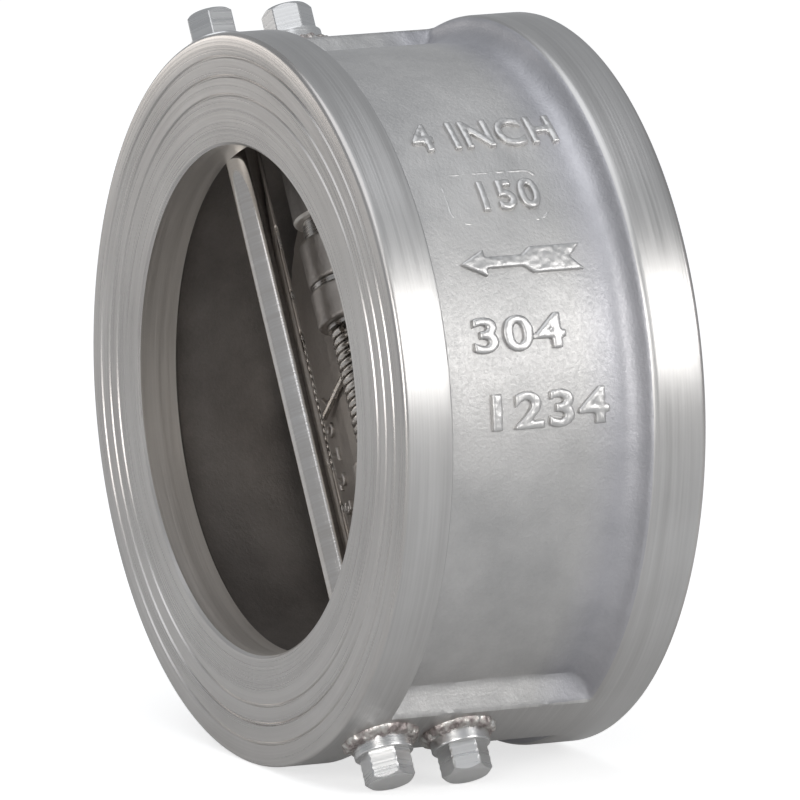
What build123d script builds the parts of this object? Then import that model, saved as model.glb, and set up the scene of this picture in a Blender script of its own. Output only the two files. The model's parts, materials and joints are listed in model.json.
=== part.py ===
from build123d import *
from math import acos, atan2, cos, degrees, hypot, radians, sin, sqrt
import os

# Dual-plate wafer check valve, nominal bore 100 mm, all sizes in mm.
# Row frame: origin on the bore axis, midway between the faces. The bore runs along Y with the outlet
# face at -Y and the inlet face at +Y, and +Z is up with the valve standing on its rims and on the ends
# of its two lower plugs. Depth below means the distance from the outlet face towards the inlet face.

# Body
rim_r = 81.0                 # outside radius of both rims, fits inside the flange bolts
face_to_face = 73.0
outlet_rim_len = 11.7
inlet_rim_len = 11.3
rim_chamfer = 1.1
waist_r = 75.0               # cast barrel between the rims
waist_step_fillet = 1.6      # corner behind the outlet rim
inlet_fillet_r = 7.5         # hollow curve that rises from the waist to the inlet rim
inlet_fillet_turn = 62.0     # degrees of that curve
inlet_crest_r = 2.4          # rounded crest where it meets the inlet rim

# Outlet bore, cavity, seat and throat
lip_r = 56.4
lip_depth = 9.5
lip_chamfer = 0.6
cavity_r = 60.5
cavity_slope = 2.0
seat_depth = 42.0            # seat plane, measured from the outlet face
seat_outer_r = 55.5          # outside of the narrow seat land
seat_land_height = 1.2
throat_r = 50.0
throat_chamfer = 1.0
seat_bar_half = 6.5          # half width of the bar across the seat, under the hinge pin
seat_bar_len = 18.0

# Gasket grooves on both faces
groove_radii = (67.4, 71.5, 75.8)
groove_half_width = 0.4
groove_depth = 0.4

# Pads along the pin line, flush with the rims
pad_top_half = 10.2
pad_base_half = 17.0
pad_start = 6.0
pad_end = 63.0

# Pins and their holes
pin_r = 4.0
pin_clearance = 0.05
stop_depth = 13.1
hinge_depth = 31.8
pin_half_len = 70.0
plug_hole_bottom = 71.0
boss_r = 9.3
boss_end = 41.0              # distance of the boss's inner end from the bore axis

# Hinge stack, distances from the bore axis along the hinge pin
outer_lug = (26.1, 36.3)
inner_lug = (16.3, 24.7)
lug_r = 9.25
body_bearing = (36.5, 40.9)
body_bearing_r = 7.6
lug_bearing = (24.85, 25.95)
lug_bearing_r = 8.6
spring_bearing = (15.2, 16.15)
spring_bearing_r = 7.4

# Plates
plate_r = 54.0
plate_gap_half = 1.0         # half the gap between the straight edges
seat_gap = 0.25
plate_hub_face = 2.0         # downstream face, behind the hinge axis
plate_rim_face = 5.4         # the same face at the plate's outer edge
plate_taper_start = 23.0
lug_scoop_r = 9.7            # hollow that clears the other plate's lugs and the body bosses
spring_scoop_r = 7.7

# Torsion spring
spring_wire_r = 0.8
spring_outer_r = 7.0
spring_half_len = 15.0
leg_start = 9.2              # the modelled legs run from here, clear of the coil, along the plates
leg_start_height = 12.0
leg_reach = 31.0
leg_tip_height = 5.5
leg_lift = 0.05              # gap between a leg and its plate

# Plugs and seal welds
plug_shank_r = 5.95
plug_hole_r = 6.0
collar_r = 6.6
collar_end = 84.9
plug_end = 91.4
hex_across_flats = 10.0
hex_corner_r = 5.65
hex_end_r = 4.7
weld_r = 8.2
weld_top = 83.2
hex_turns = {"stop_upper": 34.0, "hinge_upper": 3.0, "stop_lower": 3.0, "hinge_lower": 51.0}

half_len = face_to_face / 2
inlet_rim_start = face_to_face - inlet_rim_len

# The pins lean so that the lower plug ends touch the floor that the rims stand on.
lean = degrees(atan2(hex_end_r, plug_end) + acos(rim_r / hypot(hex_end_r, plug_end)))
stand = Rot(0, -lean, 0)

os.makedirs("parts", exist_ok=True)


def y_at(depth):
    """Y of a point at this depth from the outlet face."""
    return depth - half_len


def on_pin(depth, height, turn=0.0):
    """Place on a pin's axis, with Z along the pin."""
    return Location((0, y_at(depth), height), (0, 0, turn))


def pin_cylinder(radius, low, high, depth):
    """Solid cylinder about a pin's axis between two heights."""
    return on_pin(depth, (low + high) / 2) * Cylinder(radius, high - low)


def ring(outer, inner, low, high, depth):
    """Washer about a pin's axis."""
    return pin_cylinder(outer, low, high, depth) - pin_cylinder(inner, low - 1, high + 1, depth)


def save(shape, name):
    """Turns a piece from the pins-upright frame into the row frame and writes it."""
    placed = stand * shape
    export_step(placed, f"parts/{name}.step")
    return placed


def groove(radius, depth, inward):
    """V section of one gasket groove, cut into a face."""
    floor = depth + inward * groove_depth
    return [(radius - groove_half_width, depth), (radius, floor), (radius + groove_half_width, depth)]


def body_section():
    """Half section of the turned casting, X as radius and Y along the bore."""
    turn = radians(inlet_fillet_turn)
    crest_rise = inlet_crest_r * (1 - cos(turn))
    hollow_rise = inlet_fillet_r * (1 - cos(turn))
    slope_rise = rim_r - waist_r - crest_rise - hollow_rise
    slope_len = slope_rise / sin(turn)
    crest_start = inlet_rim_start - inlet_crest_r * sin(turn)
    hollow_end = crest_start - slope_len * cos(turn)
    hollow_start = hollow_end - inlet_fillet_r * sin(turn)
    hollow_mid = (waist_r + inlet_fillet_r * (1 - cos(turn / 2)), hollow_start + inlet_fillet_r * sin(turn / 2))
    crest_mid = (rim_r - inlet_crest_r * (1 - cos(turn / 2)), inlet_rim_start - inlet_crest_r * sin(turn / 2))
    step_mid = waist_step_fillet * (1 - cos(radians(45)))
    lip_end = lip_depth + cavity_slope

    outlet_face = [(lip_r + lip_chamfer, 0)]
    for radius in groove_radii:
        outlet_face += groove(radius, 0, 1)
    outlet_face += [
        (rim_r - rim_chamfer, 0),
        (rim_r, rim_chamfer),
        (rim_r, outlet_rim_len),
        (waist_r + waist_step_fillet, outlet_rim_len),
    ]
    inlet_face = [(rim_r, inlet_rim_start), (rim_r, face_to_face - rim_chamfer), (rim_r - rim_chamfer, face_to_face)]
    for radius in reversed(groove_radii):
        inlet_face += reversed(groove(radius, face_to_face, -1))
    inlet_face += [
        (throat_r + throat_chamfer, face_to_face),
        (throat_r, face_to_face - throat_chamfer),
        (throat_r, seat_depth),
        (seat_outer_r, seat_depth),
        (seat_outer_r, seat_depth + seat_land_height),
        (cavity_r, seat_depth + seat_land_height),
        (cavity_r, lip_end),
        (lip_r, lip_depth),
        (lip_r, lip_chamfer),
        (lip_r + lip_chamfer, 0),
    ]
    step_arc = [
        (waist_r + waist_step_fillet, outlet_rim_len),
        (waist_r + step_mid, outlet_rim_len + step_mid),
        (waist_r, outlet_rim_len + waist_step_fillet),
    ]
    hollow_foot = (waist_r, hollow_start)
    hollow_top = (waist_r + hollow_rise, hollow_end)
    crest_foot = (rim_r - crest_rise, crest_start)
    edges = Polyline(*outlet_face) + ThreePointArc(*step_arc) + Line(step_arc[-1], hollow_foot)
    edges += ThreePointArc(hollow_foot, hollow_mid, hollow_top)
    edges += Line(hollow_top, crest_foot)
    edges += ThreePointArc(crest_foot, crest_mid, (rim_r, inlet_rim_start))
    edges += Polyline(*inlet_face)
    return Location((0, -half_len, 0)) * make_face(edges)


def pad_section():
    """Half of a pad seen along the bore: flat-topped with hollow cast flanks."""
    base_z = sqrt(waist_r**2 - pad_base_half**2)
    top_z = sqrt(rim_r**2 - pad_top_half**2)
    along_waist = (-base_z, pad_base_half)
    flank = TangentArc((pad_base_half, base_z), (pad_top_half, top_z), tangent=along_waist)
    inside_z = cavity_r + 2
    frame = Polyline(
        (pad_top_half, top_z),
        (pad_top_half - 0.2, rim_r + 1),
        (0, rim_r + 1),
        (0, inside_z),
        (pad_base_half, inside_z),
        (pad_base_half, base_z),
    )
    return make_face(flank + frame)


def make_pads():
    """Both pads, flush with the rims they join."""
    half = extrude(Plane.XZ * pad_section(), (pad_end - pad_start) / 2, both=True)
    half = Location((0, y_at((pad_start + pad_end) / 2), 0)) * half
    upper = half + mirror(half, Plane.YZ)
    pads = upper + mirror(upper, Plane.XY)
    rim_solid = Rot(90, 0, 0) * Cylinder(rim_r, face_to_face)
    return pads & rim_solid


def make_seat_bar():
    """Bar across the throat that the straight edges of the plates close on, with a rounded nose."""
    nose_start = seat_depth + seat_bar_len - seat_bar_half
    block = Location((0, y_at((seat_depth + nose_start) / 2), 0)) * Box(
        2 * seat_bar_half, nose_start - seat_depth, 2 * throat_r + 4
    )
    nose = Location((0, y_at(nose_start), 0)) * Cylinder(seat_bar_half, 2 * throat_r + 4)
    return (block + nose) & (Rot(90, 0, 0) * Cylinder(throat_r + 1, face_to_face))


def make_body():
    """The casting: ring, pads, hinge bosses and seat bar, then the pin and plug holes."""
    casting = revolve(body_section(), Axis.Y) + make_pads() + make_seat_bar()
    for side in (1, -1):
        low, high = sorted((side * boss_end, side * (cavity_r + 2)))
        casting += pin_cylinder(boss_r, low, high, hinge_depth)
    for depth in (stop_depth, hinge_depth):
        casting -= pin_cylinder(pin_r + pin_clearance, -rim_r, rim_r, depth)
        for side in (1, -1):
            low, high = sorted((side * plug_hole_bottom, side * (rim_r + 2)))
            casting -= pin_cylinder(plug_hole_r, low, high, depth)
    return casting


def plate_section():
    """Right plate seen along the pins, X away from the pin and Y towards the seat from the hinge axis."""
    seat_face = seat_depth - seat_gap - hinge_depth
    points = [
        (plate_gap_half, plate_hub_face),
        (plate_taper_start, plate_hub_face),
        (plate_r, plate_rim_face),
        (plate_r, seat_face),
        (plate_gap_half, seat_face),
    ]
    return make_face(Polyline(*points, close=True))


def make_plate():
    """Right half plate: outer lug below, inner lug above, hollows where other pieces turn."""
    hinge = Location((0, y_at(hinge_depth), 0))
    slab = hinge * extrude(plate_section(), plate_r, both=True)
    slab &= Rot(90, 0, 0) * Cylinder(plate_r, face_to_face)
    edge = slab.edges().filter_by(GeomType.CIRCLE).filter_by(lambda e: abs(e.radius - plate_r) < 0.01)
    slab = chamfer(edge, 0.6)
    slab -= pin_cylinder(lug_scoop_r, spring_bearing[0] - 0.2, plate_r, hinge_depth)
    slab -= pin_cylinder(lug_scoop_r, -plate_r, -spring_bearing[0] + 0.2, hinge_depth)
    slab -= pin_cylinder(spring_scoop_r, -spring_bearing[0], spring_bearing[0], hinge_depth)
    seat_face = seat_depth - seat_gap - hinge_depth
    for low, high in (inner_lug, (-outer_lug[1], -outer_lug[0])):
        web = Box(lug_scoop_r + 3, seat_face - plate_hub_face, high - low, align=(Align.MIN, Align.MIN, Align.MIN))
        slab += Location((plate_gap_half, y_at(hinge_depth) + plate_hub_face, low)) * web
        slab += pin_cylinder(lug_r, low, high, hinge_depth)
    return slab - pin_cylinder(pin_r + pin_clearance, -plate_r, plate_r, hinge_depth)


def make_spring():
    """Envelope of the torsion spring: a tube as thick as its wire."""
    inner_r = spring_outer_r - 2 * spring_wire_r
    return ring(spring_outer_r, inner_r, -spring_half_len, spring_half_len, hinge_depth)


def make_leg():
    """Straight end of the spring that lies on the right plate's downstream face and presses it shut."""
    depth = hinge_depth + plate_hub_face - spring_wire_r - leg_lift
    start = (leg_start, y_at(depth), -leg_start_height)
    tip = (leg_reach, y_at(depth), -leg_tip_height)
    path = Line(start, tip)
    return sweep(Plane(origin=path @ 0, z_dir=path % 0) * Circle(spring_wire_r), path=path)


def make_plug(depth, turn):
    """Pin retainer milled from threaded bar: shank, collar and hexagon with a chamfered end."""
    rim_solid = Rot(90, 0, 0) * Cylinder(rim_r, face_to_face)
    head = pin_cylinder(collar_r, rim_r - 2, collar_end, depth) - rim_solid
    hexagon = extrude(RegularPolygon(hex_across_flats / 2, 6, major_radius=False), plug_end - collar_end + 1)
    hexagon = on_pin(depth, collar_end - 1, turn) * hexagon
    reach = hex_corner_r - hex_end_r
    cone_foot = plug_end - reach
    turned = pin_cylinder(hex_corner_r, collar_end - 1, cone_foot, depth)
    turned += on_pin(depth, cone_foot + reach / 2) * Cone(hex_corner_r, hex_end_r, reach)
    shank = pin_cylinder(plug_shank_r, pin_half_len + 1.2, rim_r, depth)
    return head + (hexagon & turned) + shank


def make_weld(depth):
    """Seal weld bead in the corner between the collar and the pad."""
    outline = Polyline(
        (collar_r + 0.02, rim_r - 2),
        (weld_r, rim_r - 2),
        (weld_r, rim_r + 0.5),
        (weld_r - 0.8, weld_top - 0.4),
        (collar_r + 0.02, weld_top),
        close=True,
    )
    bead = revolve(Plane.XZ * make_face(outline), Axis.Z)
    return on_pin(depth, 0) * bead - Rot(90, 0, 0) * Cylinder(rim_r + 0.01, face_to_face)


def flipped(shape):
    """The same piece turned half a turn about the bore, for the lower or left side."""
    return Rot(0, 180, 0) * shape


save(make_body(), "body")
save(make_plate(), "plate_right")
save(flipped(make_plate()), "plate_left")

for name, depth in (("stop", stop_depth), ("hinge", hinge_depth)):
    save(pin_cylinder(pin_r, -pin_half_len, pin_half_len, depth), f"{name}_pin")
    save(make_plug(depth, hex_turns[f"{name}_upper"]), f"{name}_plug_upper")
    save(flipped(make_plug(depth, hex_turns[f"{name}_lower"])), f"{name}_plug_lower")
    save(make_weld(depth), f"{name}_weld_upper")
    save(flipped(make_weld(depth)), f"{name}_weld_lower")

bearing_bore = pin_r + pin_clearance
stack = {
    "body_bearing": (body_bearing_r, body_bearing),
    "lug_bearing": (lug_bearing_r, lug_bearing),
    "spring_bearing": (spring_bearing_r, spring_bearing),
}
for name, (radius, (low, high)) in stack.items():
    washer = ring(radius, bearing_bore, low, high, hinge_depth)
    save(washer, f"{name}_upper")
    save(flipped(washer), f"{name}_lower")

save(make_spring(), "torsion_spring")
save(make_leg(), "spring_leg_right")
save(flipped(make_leg()), "spring_leg_left")

print("lean of the pins", round(lean, 2), "degrees")
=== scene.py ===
import json
import math
import bpy
from mathutils import Matrix, Vector, noise

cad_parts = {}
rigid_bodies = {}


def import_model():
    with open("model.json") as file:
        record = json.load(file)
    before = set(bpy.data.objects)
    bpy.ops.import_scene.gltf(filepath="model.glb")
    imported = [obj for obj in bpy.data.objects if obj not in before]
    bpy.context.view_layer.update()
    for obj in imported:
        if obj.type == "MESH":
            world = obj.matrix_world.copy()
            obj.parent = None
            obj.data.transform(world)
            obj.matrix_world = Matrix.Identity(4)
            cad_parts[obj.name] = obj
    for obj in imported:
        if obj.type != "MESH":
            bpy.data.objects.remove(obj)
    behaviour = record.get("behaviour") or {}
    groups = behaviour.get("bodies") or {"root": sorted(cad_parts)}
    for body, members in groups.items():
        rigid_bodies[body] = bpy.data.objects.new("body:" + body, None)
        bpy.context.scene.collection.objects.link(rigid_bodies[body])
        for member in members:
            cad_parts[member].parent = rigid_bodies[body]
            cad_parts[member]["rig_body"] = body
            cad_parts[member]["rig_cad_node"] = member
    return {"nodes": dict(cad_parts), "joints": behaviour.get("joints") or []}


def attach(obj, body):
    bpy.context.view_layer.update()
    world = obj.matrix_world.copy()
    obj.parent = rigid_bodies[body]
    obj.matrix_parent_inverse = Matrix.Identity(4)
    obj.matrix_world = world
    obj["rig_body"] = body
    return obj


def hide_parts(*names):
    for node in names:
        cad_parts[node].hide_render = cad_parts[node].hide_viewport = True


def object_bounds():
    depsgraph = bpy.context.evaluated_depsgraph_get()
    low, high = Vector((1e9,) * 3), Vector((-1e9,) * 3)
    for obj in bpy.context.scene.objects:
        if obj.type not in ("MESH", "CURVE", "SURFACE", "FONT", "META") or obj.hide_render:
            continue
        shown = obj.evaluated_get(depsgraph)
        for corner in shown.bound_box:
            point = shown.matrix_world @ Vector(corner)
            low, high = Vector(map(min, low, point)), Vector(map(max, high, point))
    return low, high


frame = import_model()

cad_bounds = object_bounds()
bpy.ops.object.select_all(action="DESELECT")


# ---------------------------------------------------------------- camera
# A long lens a little above the valve, looking at the outlet face and the side that carries the cast
# marks. The bore axis sits slightly above and left of the middle of the view.
view_azimuth = math.radians(64.36)
view_elevation = math.radians(9.74)
view_distance = 4.0
view_aside = 0.00104
view_below = 0.00256
view_lens = 815.4
towards_camera = Vector((
    math.sin(view_azimuth) * math.cos(view_elevation),
    -math.cos(view_azimuth) * math.cos(view_elevation),
    math.sin(view_elevation),
))
view_right = Vector((math.cos(view_azimuth), math.sin(view_azimuth), 0))
view_up = towards_camera.cross(view_right)
camera_place = towards_camera * view_distance + view_right * view_aside - view_up * view_below
bpy.ops.object.camera_add(location=camera_place)
camera = bpy.context.object
camera.name = "camera"
camera.rotation_euler = (-towards_camera).to_track_quat("-Z", "Y").to_euler()
camera.data.lens = view_lens
camera.data.clip_end = 50
bpy.context.scene.camera = camera
bpy.context.scene.view_settings.view_transform = "Standard"


# ---------------------------------------------------------------- floor
# A matt sheet that the valve stands on, level with the bottoms of its rims. It looks white, and lights
# the valve from below as a light grey one would.
floor_level = cad_bounds[0][2]
floor_glow, floor_seen = 0.1, 0.68
bpy.ops.mesh.primitive_plane_add(size=40, location=(0, 0, floor_level))
floor = bpy.context.object
floor.name = "floor"
floor_paint = bpy.data.materials.new("pale floor")
floor_paint.use_nodes = True
floor_shader = floor_paint.node_tree.nodes["Principled BSDF"]
floor_shader.inputs["Base Color"].default_value = (0.55, 0.55, 0.55, 1)
floor_shader.inputs["Roughness"].default_value = 0.9
floor_shader.inputs["Specular IOR Level"].default_value = 0.1
floor_shader.inputs["Emission Color"].default_value = (1, 1, 1, 1)
sight = floor_paint.node_tree.nodes.new("ShaderNodeLightPath")
glow = floor_paint.node_tree.nodes.new("ShaderNodeMapRange")
glow.inputs["To Min"].default_value = floor_glow
glow.inputs["To Max"].default_value = floor_seen
floor_paint.node_tree.links.new(sight.outputs["Is Camera Ray"], glow.inputs["Value"])
floor_paint.node_tree.links.new(glow.outputs["Result"], floor_shader.inputs["Emission Strength"])
floor.data.materials.append(floor_paint)


# ---------------------------------------------------------------- studio light
# One softbox stands beside the valve and gives the bright band along the barrel, one stands in front, a
# wide one hangs overhead and a weak one is on the outlet side. The room is light grey, and white where it
# is seen directly.
room_glow, room_seen = 0.42, 1.1
room = bpy.data.worlds.new("room")
room.use_nodes = True
room.node_tree.nodes["Background"].inputs["Color"].default_value = (0.93, 0.96, 1.0, 1)
sight = room.node_tree.nodes.new("ShaderNodeLightPath")
glow = room.node_tree.nodes.new("ShaderNodeMapRange")
glow.inputs["To Min"].default_value = room_glow
glow.inputs["To Max"].default_value = room_seen
room.node_tree.links.new(sight.outputs["Is Camera Ray"], glow.inputs["Value"])
room.node_tree.links.new(glow.outputs["Result"], room.node_tree.nodes["Background"].inputs["Strength"])
bpy.context.scene.world = room


def softbox(name, azimuth, elevation, distance, size, watts, tint):
    """A square area lamp aimed at the valve, placed by the direction it shines from."""
    across, up = math.radians(azimuth), math.radians(elevation)
    aim = Vector((math.sin(across) * math.cos(up), -math.cos(across) * math.cos(up), math.sin(up)))
    place = aim * distance
    bpy.ops.object.light_add(type="AREA", location=place)
    lamp = bpy.context.object
    lamp.name = name
    lamp.rotation_euler = (-place).to_track_quat("-Z", "Y").to_euler()
    lamp.data.shape = "SQUARE"
    lamp.data.size = size
    lamp.data.energy = watts
    lamp.data.color = tint
    return lamp


softbox("key softbox", 117, 22, 1.6, 0.75, 7.6, (1.0, 0.99, 0.975))
softbox("front softbox", 48, 16, 1.8, 0.9, 10, (1.0, 0.985, 0.96))
softbox("overhead softbox", 20, 78, 2.0, 2.2, 16, (0.95, 0.97, 1.0))
softbox("outlet softbox", -66, 3, 1.8, 0.8, 3.2, (1.0, 0.95, 0.90))


# ---------------------------------------------------------------- body casting
# One stainless casting: faces, rims and outlet lip turned bright on a lathe, the barrel and the inside
# left as cast and blasted. The lip, throat and seat also carry painted light in a lighter colour, and the
# inside carries painted shade in a darker one. Two pads along the pin line, flush with the rims, carry the
# plugs.
# It is shaped with the pins upright, in mm of radius and of depth from the outlet face, then leant over.
MM = 0.001
hinge_axis = Vector(frame["joints"][0]["axis"])
lean = math.atan2(-hinge_axis.x, hinge_axis.z)
upright = Matrix.Rotation(-lean, 4, "Y")
half_len = cad_bounds[1][1] / MM
face_to_face = 2 * half_len
rim_r = cad_bounds[1][0] / MM
rim_height = 6.0
waist_r = rim_r - rim_height
step_depth, step_edge, step_fillet = 11.7, 0.4, 1.6
inlet_rim_wide = 11.3
inlet_rim_depth = face_to_face - inlet_rim_wide
hollow_r, crest_r, hollow_turn = 7.5, 2.4, 62
rim_chamfer = 1.1
groove_radii, groove_half, groove_floor_half = (67.4, 71.5, 75.8), 0.4, 0.1
lip_r, lip_depth, lip_chamfer = 56.4, 9.5, 0.6
cavity_r, cavity_slope = 60.5, 2.0
seat_depth, seat_outer_r, seat_land = 42.0, 55.5, 1.2
throat_r, throat_chamfer = 50.0, 1.0
hinge_depth, stop_depth = 31.8, 13.1
pad_top_half, pad_base_half, pad_curve, pad_blend = 10.2, 14.5, 1.12, 1.6
boss_r, boss_end, boss_round = 9.3, 41.0, 0.8
seat_bar_half, seat_bar_len, seat_bar_inset, seat_bar_round = 6.5, 18.0, 0.03, 0.98
lathe_steps, pad_crowding = 480, 0.66
waist_wobble, cavity_wobble, wobble_cell, ripple_cell = 0.16, 0.18, 17, 5


def arc(centre, radius, start, end, steps):
    """Points of an outline along an arc, its angles in degrees from the radius towards the depth."""
    angles = [math.radians(start + (end - start) * i / steps) for i in range(steps + 1)]
    return [(centre[0] + radius * math.cos(a), centre[1] + radius * math.sin(a)) for a in angles]


def straight(start, end, spacing):
    """Points of an outline from start up to, but without, end, about this far apart."""
    count = max(1, round(math.dist(start, end) / spacing))
    return [tuple(a + (b - a) * i / count for a, b in zip(start, end)) for i in range(count)]


def lathe(name, outline, steps, about="Y"):
    """Turns an outline of (radius, height) in mm about Y or Z, in this many steps."""
    def place(point):
        return Vector((point[0], point[1], 0) if about == "Y" else (point[0], 0, point[1])) * MM

    bpy.ops.mesh.primitive_plane_add(size=MM)
    piece = bpy.context.object
    piece.name = name
    bpy.ops.object.mode_set(mode="EDIT")
    bpy.ops.mesh.select_mode(type="VERT")
    bpy.ops.mesh.merge(type="CENTER")
    bpy.ops.transform.translate(value=place(outline[0]))
    closing = [] if outline[0][0] == outline[-1][0] == 0 else outline[:1]
    for before, after in zip(outline, outline[1:] + closing):
        bpy.ops.mesh.extrude_vertices_move(TRANSFORM_OT_translate={"value": place(after) - place(before)})
    bpy.ops.mesh.select_all(action="SELECT")
    bpy.ops.mesh.remove_doubles(threshold=0.001 * MM)
    bpy.ops.object.mode_set(mode="OBJECT")
    turning = piece.modifiers.new("turning", "SCREW")
    turning.axis = about
    turning.steps = turning.render_steps = steps
    turning.use_merge_vertices = True
    turning.merge_threshold = 0.001 * MM
    bpy.ops.object.modifier_apply(modifier=turning.name)
    bpy.ops.object.mode_set(mode="EDIT")
    bpy.ops.mesh.select_all(action="SELECT")
    bpy.ops.mesh.remove_doubles(threshold=0.01 * MM)
    bpy.ops.mesh.normals_make_consistent(inside=False)
    bpy.ops.object.mode_set(mode="OBJECT")
    return piece


def combine(piece, tool, operation, solver="EXACT"):
    """Joins a closed piece to another, or keeps what they share; the other is used up."""
    bpy.ops.object.select_all(action="DESELECT")
    bpy.context.view_layer.objects.active = piece
    change = piece.modifiers.new("change", "BOOLEAN")
    change.object = tool
    change.operation = operation
    change.solver = solver
    bpy.ops.object.modifier_apply(modifier=change.name)
    bpy.data.objects.remove(tool)


def smooth(piece, degrees=30):
    """Smooth shading that keeps the edges sharper than this."""
    bpy.ops.object.select_all(action="DESELECT")
    piece.select_set(True)
    bpy.context.view_layer.objects.active = piece
    bpy.ops.object.shade_smooth_by_angle(angle=math.radians(degrees))


hollow_foot_r = hollow_r * (1 - math.cos(math.radians(hollow_turn)))
crest_drop = crest_r * (1 - math.cos(math.radians(hollow_turn)))
slope_rise = rim_r - waist_r - hollow_foot_r - crest_drop
hollow_depth = (
    inlet_rim_depth
    - (crest_r + hollow_r) * math.sin(math.radians(hollow_turn))
    - slope_rise / math.tan(math.radians(hollow_turn))
)


def grooves(depth, inward):
    """The three gasket grooves of a face, from the inside out."""
    points = []
    for radius in groove_radii:
        last_r = points[-1][0] if points else lip_r + lip_chamfer
        points += straight((last_r, depth), (radius - groove_half, depth), 2.5)
        points += [(radius - groove_half, depth), (radius - groove_floor_half, depth + inward * groove_half)]
        points += [(radius + groove_floor_half, depth + inward * groove_half), (radius + groove_half, depth)]
    return points


outline = grooves(0, 1)
outline += arc((rim_r - rim_chamfer, rim_chamfer), rim_chamfer, -90, 0, 4)
outline += straight((rim_r, rim_chamfer + 0.4), (rim_r, step_depth - step_edge), 2.4)
outline += arc((rim_r - step_edge, step_depth - step_edge), step_edge, 0, 90, 3)
outline += arc((waist_r + step_fillet, step_depth + step_fillet), step_fillet, -90, -180, 5)
outline += straight((waist_r, step_depth + step_fillet + 1), (waist_r, hollow_depth), 1.1)
outline += arc((waist_r + hollow_r, hollow_depth), hollow_r, 180, 180 - hollow_turn, 8)
outline += arc((rim_r - crest_r, inlet_rim_depth), crest_r, -hollow_turn, 0, 5)
outline += straight((rim_r, inlet_rim_depth + 2), (rim_r, face_to_face - rim_chamfer - 0.4), 2.4)
outline += arc((rim_r - rim_chamfer, face_to_face - rim_chamfer), rim_chamfer, 0, 90, 4)
outline += list(reversed(grooves(face_to_face, -1)))
outline += arc((throat_r + throat_chamfer, face_to_face - throat_chamfer), throat_chamfer, 90, 180, 3)
outline += straight((throat_r, face_to_face - throat_chamfer - 3), (throat_r, seat_depth), 4)
outline += [(throat_r, seat_depth), (throat_r + 2.7, seat_depth), (seat_outer_r, seat_depth)]
outline += [(seat_outer_r, seat_depth + seat_land), (cavity_r - 1.5, seat_depth + seat_land)]
outline += arc((cavity_r - 1.4, seat_depth + seat_land - 1.4), 1.4, 90, 0, 3)
outline += straight((cavity_r, seat_depth - 2), (cavity_r, lip_depth + cavity_slope + 1), 2)
outline += [(cavity_r - 0.3, lip_depth + cavity_slope)]
outline += [(lip_r + 0.3, lip_depth + 0.3), (lip_r, lip_depth - 0.2)]
outline += straight((lip_r, lip_depth - 1.5), (lip_r, lip_chamfer + 0.5), 2)
outline += [(lip_r, lip_chamfer)]
body = lathe("body_casting", outline, lathe_steps)

# The lathe's steps are drawn closer together round the pads.
for vertex in body.data.vertices:
    x, z = vertex.co.x, vertex.co.z
    turn = math.atan2(x, z)
    turn -= pad_crowding / 2 * math.sin(2 * turn)
    vertex.co.x, vertex.co.z = math.hypot(x, z) * math.sin(turn), math.hypot(x, z) * math.cos(turn)

# Two round bosses inside carry the ends of the hinge pin.
for side in (1, -1):
    bpy.ops.mesh.primitive_cylinder_add(
        vertices=72, radius=boss_r * MM, depth=(cavity_r + 2 - boss_end) * MM,
        location=(0, hinge_depth * MM, side * (cavity_r + 2 + boss_end) / 2 * MM),
    )
    boss = bpy.context.object
    bpy.ops.object.transform_apply(location=True, rotation=False, scale=False)
    rounding = boss.modifiers.new("rounding", "BEVEL")
    rounding.width = boss_round * MM
    rounding.segments = 3
    bpy.ops.object.modifier_apply(modifier=rounding.name)
    combine(body, boss, "UNION", "FAST")

# A bar across the throat carries the plates' straight edges. Its upstream side is rounded.
bar_middle = seat_depth + seat_bar_len / 2 + seat_bar_inset
bpy.ops.mesh.primitive_cube_add(size=MM, location=(0, bar_middle * MM, 0))
bar = bpy.context.object
bar.scale = (2 * seat_bar_half, seat_bar_len, 2 * throat_r + 2)
bpy.ops.object.transform_apply(location=True, rotation=False, scale=True)
bpy.ops.object.mode_set(mode="EDIT")
bpy.ops.mesh.select_mode(type="EDGE")
bpy.ops.mesh.select_all(action="DESELECT")
bpy.ops.object.mode_set(mode="OBJECT")
for edge in bar.data.edges:
    ends = [bar.data.vertices[i].co for i in edge.vertices]
    edge.select = abs(ends[0].z - ends[1].z) > throat_r * MM and ends[0].y > (seat_depth + 1) * MM
bpy.ops.object.mode_set(mode="EDIT")
bpy.ops.mesh.bevel(offset=seat_bar_round * seat_bar_half * MM, segments=9)
bpy.ops.object.mode_set(mode="OBJECT")
combine(body, bar, "UNION", "FAST")

# The pads are raised out of the waist, and what stays as cast is made slightly uneven.
for vertex in body.data.vertices:
    x, depth, z = vertex.co / MM
    radius = math.hypot(x, z)
    grown = radius
    spot = Vector((x, depth, z))
    bulge = noise.noise(spot / wobble_cell) + 0.45 * noise.noise(spot / ripple_cell)
    if waist_r - 0.1 < radius < rim_r - 0.05 and step_depth - 0.1 < depth < inlet_rim_depth + 0.1:
        across = abs(math.atan2(x, abs(z))) * (rim_r - 2)
        across += 0.3 * noise.noise(Vector((x, depth * 1.5, z)) / 4)
        into = min(max(pad_base_half - across, 0), pad_base_half - pad_top_half)
        pad = waist_r + (rim_r - waist_r) * (into / (pad_base_half - pad_top_half)) ** pad_curve
        blend = max(pad_blend - abs(radius - pad), 0) ** 2 / (4 * pad_blend)
        grown = min(max(radius, pad) + blend, rim_r)
        grown += waist_wobble * bulge * min(1, (rim_r - grown) / 2)
    elif cavity_r - 0.1 < radius < cavity_r + 0.1:
        grown += cavity_wobble * bulge
    vertex.co.x *= grown / radius
    vertex.co.z *= grown / radius
    vertex.co.y -= half_len * MM


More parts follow.
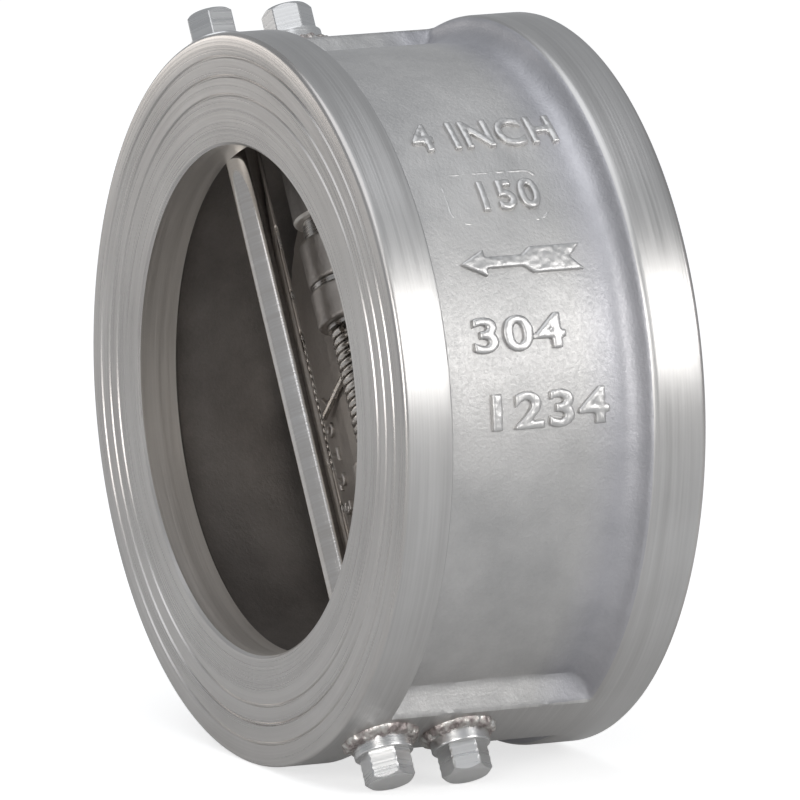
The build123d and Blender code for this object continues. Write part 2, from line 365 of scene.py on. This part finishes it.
def add(tree, kind, inputs=None, **settings):
    """A node of this kind, its inputs set to values or linked to other nodes' outputs."""
    made = tree.nodes.new("ShaderNode" + kind)
    for key, value in settings.items():
        setattr(made, key, value)
    for key, value in (inputs or {}).items():
        if isinstance(value, bpy.types.NodeSocket):
            tree.links.new(value, made.inputs[key])
        else:
            made.inputs[key].default_value = value
    return made


def ramp(tree, value, *stops):
    """A colour ramp through stops of (position, colour)."""
    made = add(tree, "ValToRGB", {"Fac": value})
    for place, colour in stops[2:]:
        made.color_ramp.elements.new(place)
    for element, (place, colour) in zip(made.color_ramp.elements, sorted(stops)):
        element.position = place
        element.color = (*colour, 1)
    return made.outputs["Color"]


def spread(tree, value, low, high, start=0.0, end=1.0):
    """The value carried from the range start to end over to low to high."""
    limits = {"Value": value, "From Min": start, "From Max": end, "To Min": low, "To Max": high}
    return add(tree, "MapRange", limits).outputs["Result"]


def new_group(name, inputs, outputs):
    """An empty shader node group with these sockets, of (name, type, default)."""
    tree = bpy.data.node_groups.new(name, "ShaderNodeTree")
    for direction, sockets in (("INPUT", inputs), ("OUTPUT", outputs)):
        for label, kind, default in sockets:
            socket = tree.interface.new_socket(label, in_out=direction, socket_type="NodeSocket" + kind)
            if default is not None:
                socket.default_value = default
    return tree, tree.nodes.new("NodeGroupInput").outputs, tree.nodes.new("NodeGroupOutput").inputs


def metal(name, roughness=0.4, colour=(0.6, 0.6, 0.6)):
    """A metallic material, its node tree, its shader's inputs and the Object coordinates."""
    made = bpy.data.materials.new(name)
    made.use_nodes = True
    shader = made.node_tree.nodes["Principled BSDF"]
    shader.inputs["Metallic"].default_value = 1
    shader.inputs["Roughness"].default_value = roughness
    shader.inputs["Base Color"].default_value = (*colour, 1)
    return made, made.node_tree, shader.inputs, add(made.node_tree, "TexCoord").outputs["Object"]


# Sand-cast and blasted skin: fine peened grain, faint pits and slow blotches.
skin, skin_in, skin_out = new_group(
    "cast_skin", [("Vector", "Vector", None)],
    [("Blotch", "Float", 0), ("Grain", "Float", 0), ("Height", "Float", 0)],
)
blotch = add(skin, "TexNoise", {"Vector": skin_in["Vector"], "Scale": 38, "Detail": 5, "Roughness": 0.62})
peen = add(skin, "TexNoise", {"Vector": skin_in["Vector"], "Scale": 1250, "Detail": 3, "Roughness": 0.65})
ripple = add(skin, "TexNoise", {"Vector": skin_in["Vector"], "Scale": 330, "Detail": 2})
relief_terms = {0: ripple.outputs["Fac"], 1: 0.55, 2: peen.outputs["Fac"]}
height = add(skin, "Math", relief_terms, operation="MULTIPLY_ADD")
skin.links.new(blotch.outputs["Fac"], skin_out["Blotch"])
skin.links.new(peen.outputs["Fac"], skin_out["Grain"])
skin.links.new(height.outputs["Value"], skin_out["Height"])

# Lathe marks: fine lines at a set place across the cut, that fade in and out along it.
marks, marks_in, marks_out = new_group(
    "lathe_marks", [("Across", "Float", 0), ("Along", "Vector", None)],
    [("Tone", "Float", 0), ("Height", "Float", 0)],
)


def lines(density, slow, detail):
    """Noise drawn out along the cut, with this many lines to the metre."""
    across = add(marks, "Math", {0: marks_in["Across"], 1: density}, operation="MULTIPLY").outputs["Value"]
    along = add(marks, "VectorMath", {0: marks_in["Along"], "Scale": slow}, operation="SCALE")
    drawn = add(marks, "CombineXYZ", {"X": across}).outputs["Vector"]
    both = add(marks, "VectorMath", {0: drawn, 1: along.outputs["Vector"]}, operation="ADD").outputs["Vector"]
    return add(marks, "TexNoise", {"Vector": both, "Scale": 1, "Detail": detail}).outputs["Fac"]


coarse, fine = lines(430, 16, 2), lines(1900, 28, 2)
height = add(marks, "Math", {0: coarse, 1: 0.6, 2: fine}, operation="MULTIPLY_ADD")
tone = add(marks, "Math", {0: coarse, 1: fine}, operation="ADD")
halved = add(marks, "Math", {0: tone.outputs["Value"], 1: 0.5}, operation="MULTIPLY")
marks.links.new(halved.outputs["Value"], marks_out["Tone"])
marks.links.new(height.outputs["Value"], marks_out["Height"])


def cast_metal(name, dark, light, tint=None, roughness=(0.42, 0.56), relief=0.5):
    """Cast skin between two tones; a tint of (colour, start, end) comes in along the bore, in mm."""
    made, tree, shader, place = metal(name)
    surface = add(tree, "Group", {}, node_tree=skin)
    tree.links.new(place, surface.inputs["Vector"])
    colour = ramp(tree, surface.outputs["Blotch"], (0.34, dark), (0.64, light))
    if tint:
        depth = add(tree, "SeparateXYZ", {"Vector": place}).outputs["Y"]
        share = spread(tree, depth, 0, 1, (tint[1] - half_len) * MM, (tint[2] - half_len) * MM)
        mixer = add(tree, "Mix", data_type="RGBA", blend_type="MULTIPLY")
        tree.links.new(share, mixer.inputs[0])
        tree.links.new(colour, mixer.inputs[6])
        mixer.inputs[7].default_value = (*tint[0], 1)
        colour = mixer.outputs[2]
    tree.links.new(colour, shader["Base Color"])
    tree.links.new(spread(tree, surface.outputs["Grain"], *roughness, 0.3, 0.7), shader["Roughness"])
    grain = {"Strength": relief, "Distance": 0.12 * MM, "Height": surface.outputs["Height"]}
    bump = add(tree, "Bump", grain)
    tree.links.new(bump.outputs["Normal"], shader["Normal"])
    return made


def turned_metal(name, dark, light, across, roughness=(0.2, 0.34), relief=0.35):
    """Lathe-cut metal, its lines at equal radius on a face, at equal depth on a rim, or across a pin."""
    made, tree, shader, place = metal(name)
    if across == "radius":
        flat = add(tree, "VectorMath", {0: place, 1: (1, 0, 1)}, operation="MULTIPLY").outputs["Vector"]
        coordinate = add(tree, "VectorMath", {0: flat}, operation="LENGTH").outputs["Value"]
    elif across == "pin":
        measured = add(tree, "VectorMath", {0: place, 1: hinge_axis}, operation="DOT_PRODUCT")
        coordinate = measured.outputs["Value"]
    else:
        coordinate = add(tree, "SeparateXYZ", {"Vector": place}).outputs["Y"]
    surface = add(tree, "Group", {}, node_tree=marks)
    tree.links.new(coordinate, surface.inputs["Across"])
    tree.links.new(place, surface.inputs["Along"])
    patch = add(tree, "TexNoise", {"Vector": place, "Scale": 24, "Detail": 4}).outputs["Fac"]
    lined = spread(tree, surface.outputs["Tone"], 0, 0.55)
    shade = add(tree, "Math", {0: patch, 1: 0.45, 2: lined}, operation="MULTIPLY_ADD")
    tree.links.new(ramp(tree, shade.outputs["Value"], (0.3, dark), (0.68, light)), shader["Base Color"])
    tree.links.new(spread(tree, surface.outputs["Tone"], *roughness, 0.3, 0.7), shader["Roughness"])
    cut = {"Strength": relief, "Distance": 0.1 * MM, "Height": surface.outputs["Height"]}
    bump = add(tree, "Bump", cut)
    tree.links.new(bump.outputs["Normal"], shader["Normal"])
    return made


inlet_tint = ((0.885, 0.89, 0.945), 46, 54)
cast_barrel = cast_metal(
    "cast barrel", (0.50, 0.495, 0.49), (0.62, 0.61, 0.60), inlet_tint, (0.44, 0.58), 0.85
)
turned_face = turned_metal(
    "turned face", (0.42, 0.40, 0.385), (0.66, 0.64, 0.62), "radius", (0.22, 0.36), 0.26
)
turned_rim = turned_metal("turned rim", (0.46, 0.45, 0.44), (0.66, 0.65, 0.64), "depth", (0.3, 0.42))
# The bore, lip and seat colour is lighter than the other turned metal: their turned finish with painted light
# on top.
turned_bore_and_painted_light = turned_metal("turned bore and painted light", (0.68, 0.65, 0.61), (0.84, 0.80, 0.76), "depth", (0.42, 0.56))
# The cavity colour is partly its own dark cast skin and partly painted shade, darker for the shade inside the
# body.
cavity_cast_and_painted_shade = cast_metal("cavity cast and painted shade", (0.20, 0.185, 0.175), (0.30, 0.28, 0.265), None, (0.5, 0.62), 0.7)
zones = (cast_barrel, turned_face, turned_rim, turned_bore_and_painted_light, cavity_cast_and_painted_shade)
for material in zones:
    body.data.materials.append(material)
for face in body.data.polygons:
    x, depth, z = face.center / MM
    radius, depth = math.hypot(x, z), depth + half_len
    in_lip = radius < lip_r + 0.7 and (depth < lip_depth or depth > seat_depth - 0.5)
    if (depth < 1.0 or depth > face_to_face - 1.0) and radius > throat_r + 0.6:
        face.material_index = zones.index(turned_face)
    elif radius > rim_r - 0.45:
        face.material_index = zones.index(turned_rim)
    elif radius < throat_r + 0.6 or in_lip:
        face.material_index = zones.index(turned_bore_and_painted_light)
    elif radius < cavity_r + 2:
        face.material_index = zones.index(cavity_cast_and_painted_shade)
smooth(body)
body.data.transform(upright)
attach(body, "valve_body")
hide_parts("body")


# ---------------------------------------------------------------- cast marks
# Raised signs cast in one with the barrel: nominal size, pressure class in a faint frame, flow arrow,
# steel grade and a batch number. Their strokes are soft and rounded and stand 1.5 mm proud.
mark_rise, mark_root, mark_weight = 1.45, 0.7, 0.042
mark_voxel, lump_rise, lump_cell = 0.25, 0.10, 1.1
mark_rows = (
    ("4 INCH", 56.0, 19.7, 54.5, 8.6),
    ("150", 42.7, 30.0, 44.5, 7.8),
    ("304", 18.2, 20.5, 43.0, 8.0),
    ("1234", 5.4, 23.5, 52.0, 8.3),
)
arrow_half, arrow_head, head_half, shaft_half, feather_half = 14.7, 6.0, 3.2, 1.3, 3.0
shaft_end, feather_start, feather_notch = 0.2, 2.4, 3.2
arrow_angle, arrow_depth = 30.4, 35.5
frame_long, frame_tall, frame_corner, frame_bead, frame_sink = 23.5, 12.8, 3.2, 0.5, 0.02
frame_angle, frame_depth, frame_stretches = 42.7, 34.0, ((2, 17), (19, 26))


def flat_letters(name, text, long, tall, rise, root, weight):
    """Raised text, centred and stretched to this size in mm, its face at +rise and its back at -root."""
    bpy.ops.object.text_add()
    piece = bpy.context.object
    piece.name = name
    piece.data.body = text
    piece.data.extrude = 0.05
    piece.data.bevel_depth = 0.055
    piece.data.bevel_resolution = 3
    piece.data.offset = weight - piece.data.bevel_depth
    piece.data.space_character = 1.12
    bpy.ops.object.convert(target="MESH")
    low = [min(v.co[axis] for v in piece.data.vertices) for axis in range(3)]
    high = [max(v.co[axis] for v in piece.data.vertices) for axis in range(3)]
    for vertex in piece.data.vertices:
        share = [(vertex.co[axis] - low[axis]) / (high[axis] - low[axis]) for axis in range(3)]
        out = share[2] * (rise + root) - root
        vertex.co = Vector(((share[0] - 0.5) * long, (share[1] - 0.5) * tall, out)) * MM
    return piece


def soften(piece, voxel, passes):
    """Melts a raised sign into one skin with rounded edges, as sand casting leaves it."""
    bpy.ops.object.select_all(action="DESELECT")
    bpy.context.view_layer.objects.active = piece
    melt = piece.modifiers.new("melt", "REMESH")
    melt.mode = "VOXEL"
    melt.voxel_size = voxel * MM
    bpy.ops.object.modifier_apply(modifier=melt.name)
    rounding = piece.modifiers.new("rounding", "SMOOTH")
    rounding.factor = 0.5
    rounding.iterations = passes
    bpy.ops.object.modifier_apply(modifier=rounding.name)


def wrap(piece, angle, depth, radius):
    """Lays a flat sign on the barrel: its X runs along the bore, and its Y round the barrel."""
    for vertex in piece.data.vertices:
        along, up, out = vertex.co
        turn = math.radians(angle) + up / (radius * MM)
        lump = lump_rise * noise.noise(Vector((along, up, angle * MM)) / (lump_cell * MM)) * MM
        reach = radius * MM + out + lump
        vertex.co = Vector((reach * math.cos(turn), (depth - half_len) * MM + along, reach * math.sin(turn)))


signs = []
for text, angle, start, end, tall in mark_rows:
    label = "mark_" + text.replace(" ", "_")
    sign = flat_letters(label, text, end - start, tall, mark_rise, mark_root, mark_weight)
    soften(sign, mark_voxel, 5)
    wrap(sign, angle, (start + end) / 2, waist_r)
    signs.append(sign)

half_arrow = [
    (-arrow_half, 0), (-arrow_half + arrow_head, head_half), (-arrow_half + arrow_head, shaft_half),
    (shaft_end, shaft_half), (feather_start, feather_half),
    (arrow_half, feather_half), (arrow_half - feather_notch, 0),
]
line = bpy.data.curves.new("mark_arrow", "CURVE")
line.dimensions = "2D"
line.fill_mode = "BOTH"
line.extrude = (mark_rise + mark_root) / 2 * MM
spline = line.splines.new("POLY")
arrow_points = half_arrow + [(x, -y) for x, y in reversed(half_arrow[1:-1])]
spline.points.add(len(arrow_points) - 1)
for point, (x, y) in zip(spline.points, arrow_points):
    point.co = (x * MM, y * MM, 0, 1)
spline.use_cyclic_u = True
arrow = bpy.data.objects.new("mark_arrow", line)
bpy.context.scene.collection.objects.link(arrow)
bpy.ops.object.select_all(action="DESELECT")
arrow.select_set(True)
bpy.context.view_layer.objects.active = arrow
bpy.ops.object.convert(target="MESH")
arrow = bpy.context.object
for vertex in arrow.data.vertices:
    vertex.co.z += (mark_rise - mark_root) / 2 * MM
soften(arrow, mark_voxel, 10)
wrap(arrow, arrow_angle, arrow_depth, waist_r)
signs.append(arrow)

frame_line = bpy.data.curves.new("mark_frame", "CURVE")
frame_line.dimensions = "3D"
frame_line.bevel_depth = frame_bead * MM
frame_line.use_fill_caps = True
inset_long, inset_tall = frame_long / 2 - frame_corner, frame_tall / 2 - frame_corner
corner_points = [
    point
    for corner, (side, rise) in enumerate(((1, 1), (-1, 1), (-1, -1), (1, -1)))
    for point in arc((side * inset_long, rise * inset_tall), frame_corner, corner * 90, corner * 90 + 90, 6)
]
for first, last in frame_stretches:
    stretch = corner_points[first:last]
    spline = frame_line.splines.new("POLY")
    route = [p for a, b in zip(stretch, stretch[1:]) for p in straight(a, b, 1)] + [stretch[-1]]
    spline.points.add(len(route) - 1)
    for point, (x, y) in zip(spline.points, route):
        point.co = (x * MM, y * MM, -frame_sink * MM, 1)
border = bpy.data.objects.new("mark_frame", frame_line)
bpy.context.scene.collection.objects.link(border)
bpy.ops.object.select_all(action="DESELECT")
border.select_set(True)
bpy.context.view_layer.objects.active = border
bpy.ops.object.convert(target="MESH")
border = bpy.context.object
soften(border, 0.24, 2)
wrap(border, frame_angle, frame_depth, waist_r)
signs.append(border)
cast_sign = cast_metal("cast sign", (0.52, 0.515, 0.51), (0.66, 0.65, 0.64), None, (0.34, 0.46), 0.35)
for sign in signs:
    sign.data.materials.append(cast_sign)
    smooth(sign, 60)
    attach(sign, "valve_body")


# ---------------------------------------------------------------- pin plugs
# Four pin retainers milled from bar: a shank in the pad, a round collar and a 10 mm hexagon. The lower
# two were cut from threaded bar and keep stumps of thread on their corners.
shank_r, shank_start, shank_end = 5.95, 71.2, 80.2
collar_r, collar_end, collar_round, plug_end = 6.6, 84.9, 0.35, 91.4
hex_flats, hex_corner_r, hex_end_r, hex_worn = 10.0, 5.7, 4.7, 0.1
thread_crests, thread_pitch, thread_deep = 3, 1.5, 0.13
plug_places = {
    "hinge_plug_upper": (hinge_depth, -26.7, False),
    "stop_plug_upper": (stop_depth, 4.0, False),
    "hinge_plug_lower": (hinge_depth, 20.7, True),
    "stop_plug_lower": (stop_depth, 32.7, True),
}
milled = turned_metal("milled plug", (0.60, 0.60, 0.60), (0.78, 0.775, 0.77), "pin", (0.22, 0.36), 0.2)
for name, (depth, turn, threaded) in plug_places.items():
    envelope = [(0, collar_end - 1.5), (hex_corner_r, collar_end - 1.5)]
    if threaded:
        for crest in range(thread_crests):
            foot = collar_end + 0.5 + crest * thread_pitch
            envelope += [(hex_corner_r, foot), (hex_corner_r - thread_deep, foot + 0.5 * thread_pitch)]
    envelope += [(hex_corner_r, plug_end - 0.95), (hex_end_r, plug_end), (0, plug_end)]
    shape = lathe("envelope", envelope, 96, "Z")
    bpy.ops.mesh.primitive_cylinder_add(
        vertices=6, radius=hex_flats / math.sqrt(3) * MM, depth=(plug_end - collar_end + 2) * MM,
        location=(0, 0, (plug_end + collar_end - 0.5) / 2 * MM), rotation=(0, 0, math.radians(turn)),
    )
    plug = bpy.context.object
    bpy.ops.object.transform_apply(location=True, rotation=True, scale=False)
    worn = plug.modifiers.new("worn edges", "BEVEL")
    worn.width = hex_worn * MM
    worn.segments = 2
    bpy.ops.object.modifier_apply(modifier=worn.name)
    combine(plug, shape, "INTERSECT")
    collar_outline = [(0, shank_start), (shank_r, shank_start), (shank_r, shank_end)]
    collar_outline += [(collar_r, shank_end), (collar_r, collar_end - 0.5)]
    collar_outline += arc((collar_r - collar_round, collar_end - collar_round), collar_round, 0, 90, 3)
    collar_outline += [(0, collar_end)]
    combine(plug, lathe("collar", collar_outline, 96, "Z"), "UNION")
    plug.name = name + "_milled"
    plug.data.materials.append(milled)
    smooth(plug, 24)
    flip = Matrix.Rotation(math.pi, 4, "Y") if name.endswith("lower") else Matrix.Identity(4)
    plug.data.transform(upright @ flip @ Matrix.Translation((0, (depth - half_len) * MM, 0)))
    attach(plug, "valve_body")
    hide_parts(name)


# ---------------------------------------------------------------- seal welds
# A lumpy hand-laid bead in the corner between each collar and its pad. It follows the round of the pad,
# and the heat has left it straw, pink and brown.
weld_low_r, weld_high_r, weld_root = 6.3, 8.6, 0.7
bead_r, bead_round, ripples = 7.0, 1.5, 7
heat, tree, shader, place = metal("heat tinted weld", 0.5)
surface = add(tree, "Group", {}, node_tree=skin)
tree.links.new(place, surface.inputs["Vector"])
stain = add(tree, "TexNoise", {"Vector": place, "Scale": 420, "Detail": 4, "Roughness": 0.6}).outputs["Fac"]
heat_tints = (
    (0.32, (0.20, 0.17, 0.16)), (0.44, (0.42, 0.37, 0.36)),
    (0.54, (0.56, 0.53, 0.50)), (0.66, (0.72, 0.71, 0.69)),
)
tree.links.new(ramp(tree, stain, *heat_tints), shader["Base Color"])
tree.links.new(spread(tree, stain, 0.55, 0.3, 0.35, 0.65), shader["Roughness"])
bump = add(tree, "Bump", {"Strength": 0.8, "Distance": 0.2 * MM, "Height": surface.outputs["Height"]})
tree.links.new(bump.outputs["Normal"], shader["Normal"])
for order, (name, depth, side) in enumerate((
    ("hinge_weld_upper", hinge_depth, 1), ("stop_weld_upper", stop_depth, 1),
    ("hinge_weld_lower", hinge_depth, -1), ("stop_weld_lower", stop_depth, -1),
)):
    bead_outline = [(weld_low_r, rim_r - weld_root), (weld_high_r, rim_r - weld_root)]
    bead_outline += [(weld_high_r, rim_r - 0.1)]
    bead_outline += arc((bead_r, rim_r), bead_round, 12, 90, 8) + [(weld_low_r, rim_r + bead_round)]
    bead = lathe(name + "_bead", bead_outline, 160, "Z")
    for vertex in bead.data.vertices:
        x, y, z = vertex.co / MM
        around = math.atan2(y, x) + order * 1.3
        ripple = abs(math.sin(ripples * around + 0.9 * math.sin(2 * around)))
        lump = noise.noise(Vector((x, y, z * 0.6 + order * 9)) / 1.5)
        lump += 0.6 * noise.noise(Vector((x, y, order * 5)) / 0.6)
        rise = max(z - rim_r, 0) / bead_round
        radius = math.hypot(x, y)
        swell = 1 + rise * 0.03 * lump + (0.03 * lump + 0.02 * ripple if radius > weld_low_r + 0.5 else 0)
        height = z + rise * (0.12 * ripple + 0.55 * lump)
        out = max(rim_r**2 - (x * swell) ** 2, 0) ** 0.5 - rim_r
        vertex.co = Vector((x * swell, y * swell + depth - half_len, height + out)) * MM
    bead.data.materials.append(heat)
    smooth(bead, 50)
    flip = Matrix.Rotation(math.pi, 4, "Y") if side < 0 else Matrix.Identity(4)
    bead.data.transform(upright @ flip)
    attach(bead, "valve_body")
    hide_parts(name)


# ---------------------------------------------------------------- pins
# Two 8 mm stainless rods right across the body, centreless ground and bright. The plates swing on the
# inner one, and the outer one stops them when they are open.
ground = turned_metal("ground pin", (0.60, 0.56, 0.52), (0.76, 0.74, 0.72), "pin", (0.08, 0.17), 0.12)
for name in ("hinge_pin", "stop_pin"):
    frame["nodes"][name].data.materials.clear()
    frame["nodes"][name].data.materials.append(ground)


# ---------------------------------------------------------------- bearings
# Turned stainless thrust washers, slipped over the hinge pin between the body, the plates' lugs and the
# spring, so that the parts turn on them and not on each other.
washer_steel = turned_metal(
    "turned washer", (0.44, 0.42, 0.40), (0.62, 0.60, 0.58), "pin", (0.22, 0.36), 0.3
)
for name, node in frame["nodes"].items():
    if "bearing" in name:
        node.data.materials.clear()
        node.data.materials.append(washer_steel)


# ---------------------------------------------------------------- plates
# Two cast half discs with pierced lugs on the hinge pin, blasted dark, that close on the seat. Each has
# a small row of cast figures on its downstream face, along the pin.
plate_steel = cast_metal("blasted plate", (0.33, 0.30, 0.28), (0.46, 0.43, 0.40), None, (0.36, 0.5), 0.6)
hub_face, taper_start, plate_r, rim_face = 2.0, 23.0, 54.0, 5.4
plate_voxel, plate_wobble, plate_cell = 0.5, 0.07, 2.5
figures_at, figures_long, figures_tall, figures_middle = 32.0, 28.0, 4.0, -3.0
figures_rise, figures_root, figures_weight, figures_voxel = 0.8, 0.6, 0.03, 0.22
for side, name in ((1, "plate_right"), (-1, "plate_left")):
    bpy.ops.object.select_all(action="DESELECT")
    plate = frame["nodes"][name].copy()
    plate.data = plate.data.copy()
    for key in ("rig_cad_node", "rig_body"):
        del plate[key]
    plate.parent = None
    plate.name = name + "_casting"
    bpy.context.scene.collection.objects.link(plate)
    plate.data.materials.clear()
    plate.select_set(True)
    bpy.context.view_layer.objects.active = plate
    bpy.ops.mesh.customdata_custom_splitnormals_clear()
    bpy.ops.object.mode_set(mode="EDIT")
    bpy.ops.mesh.select_all(action="SELECT")
    bpy.ops.mesh.remove_doubles(threshold=0.01 * MM)
    bpy.ops.object.mode_set(mode="OBJECT")
    soften(plate, plate_voxel, 2)
    outwards = [vertex.normal.copy() for vertex in plate.data.vertices]
    for vertex, out in zip(plate.data.vertices, outwards):
        vertex.co += out * plate_wobble * MM * noise.noise(vertex.co / (plate_cell * MM))
    plate.data.materials.append(plate_steel)
    smooth(plate, 45)
    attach(plate, "right_plate" if side > 0 else "left_plate")
    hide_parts(name)
    figures = flat_letters(
        name + "_figures", "4 0 7 2 5", figures_long, figures_tall,
        figures_rise, figures_root, figures_weight,
    )
    soften(figures, figures_voxel, 3)
    slope = (rim_face - hub_face) / (plate_r - taper_start)
    face_depth = hinge_depth + hub_face + slope * (figures_at - taper_start) - half_len
    lean_out = Matrix.Rotation(-math.atan(slope), 4, "Z")
    along_pin = Matrix(((0, -1, 0, 0), (0, 0, -1, 0), (1, 0, 0, 0), (0, 0, 0, 1)))
    place = Matrix.Translation((figures_at * MM, face_depth * MM, -figures_middle * MM))
    figures.data.transform(place @ lean_out.inverted() @ along_pin)
    if side < 0:
        figures.data.transform(Matrix.Rotation(math.pi, 4, "Y"))
    figures.data.transform(upright)
    figures.data.materials.append(plate_steel)
    smooth(figures, 60)
    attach(figures, "right_plate" if side > 0 else "left_plate")


# ---------------------------------------------------------------- torsion spring
# One close coil of 1.6 mm stainless wire round the hinge pin. Each end runs out over a plate and lies
# flat on it, and so moves with it.
wire_r, coil_r, coil_half, coil_turns = 0.8, 6.2, 14.15, 15.25
coil_start, turn_points, leg_gap = 200, 28, 0.05
spring_wire, tree, shader, place = metal("spring wire", 0.22)
grime = add(tree, "TexNoise", {"Vector": place, "Scale": 260, "Detail": 3}).outputs["Fac"]
drawn_tone = ramp(tree, grime, (0.35, (0.40, 0.37, 0.34)), (0.6, (0.66, 0.63, 0.60)))
tree.links.new(drawn_tone, shader["Base Color"])
tree.links.new(spread(tree, grime, 0.18, 0.36, 0.3, 0.7), shader["Roughness"])
scratch = add(tree, "TexNoise", {"Vector": place, "Scale": 2400, "Detail": 2}).outputs["Fac"]
bump = add(tree, "Bump", {"Strength": 0.25, "Distance": 0.05 * MM, "Height": scratch})
tree.links.new(bump.outputs["Normal"], shader["Normal"])


def bent_wire(name, route, radius):
    """Round wire along points in mm, with the pins upright, then leant over."""
    line = bpy.data.curves.new(name, "CURVE")
    line.dimensions = "3D"
    line.bevel_depth = radius * MM
    line.bevel_resolution = 4
    line.use_fill_caps = True
    spline = line.splines.new("POLY")
    spline.points.add(len(route) - 1)
    for point, (x, depth, height) in zip(spline.points, route):
        point.co = (x * MM, (depth - half_len) * MM, height * MM, 1)
    piece = bpy.data.objects.new(name, line)
    bpy.context.scene.collection.objects.link(piece)
    bpy.ops.object.select_all(action="DESELECT")
    piece.select_set(True)
    bpy.context.view_layer.objects.active = piece
    bpy.ops.object.convert(target="MESH")
    piece = bpy.context.object
    bpy.ops.object.mode_set(mode="EDIT")
    bpy.ops.mesh.select_all(action="SELECT")
    bpy.ops.mesh.remove_doubles(threshold=0.005 * MM)
    bpy.ops.mesh.normals_make_consistent(inside=False)
    bpy.ops.object.mode_set(mode="OBJECT")
    piece.data.materials.append(spring_wire)
    smooth(piece, 50)
    piece.data.transform(upright)
    return piece


coil_steps = round(coil_turns * turn_points)
coil_route = []
for step in range(coil_steps + 1):
    share = step / coil_steps
    turn = math.radians(coil_start) + share * coil_turns * 2 * math.pi
    coil_route.append((
        coil_r * math.cos(turn), hinge_depth + coil_r * math.sin(turn), (2 * share - 1) * coil_half
    ))
coil = bent_wire("torsion_coil", coil_route, wire_r)
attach(coil, "valve_body")
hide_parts("torsion_spring")

leg_depth = hinge_depth + hub_face - wire_r - leg_gap
for side, plate in ((1, "right"), (-1, "left")):
    route = [(6.1, hinge_depth - 0.6, -13.6), (6.9, hinge_depth + 0.3, -13.2)]
    route += [(7.9, leg_depth - 0.25, -12.6), (9.2, leg_depth, -12.0)]
    route += [(31.0 - 1.2, leg_depth, -5.9), (31.0, leg_depth, -5.5)]
    leg = bent_wire("spring_end_" + plate, [(side * x, y, side * z) for x, y, z in route], wire_r)
    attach(leg, plate + "_plate")
    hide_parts("spring_leg_" + plate)
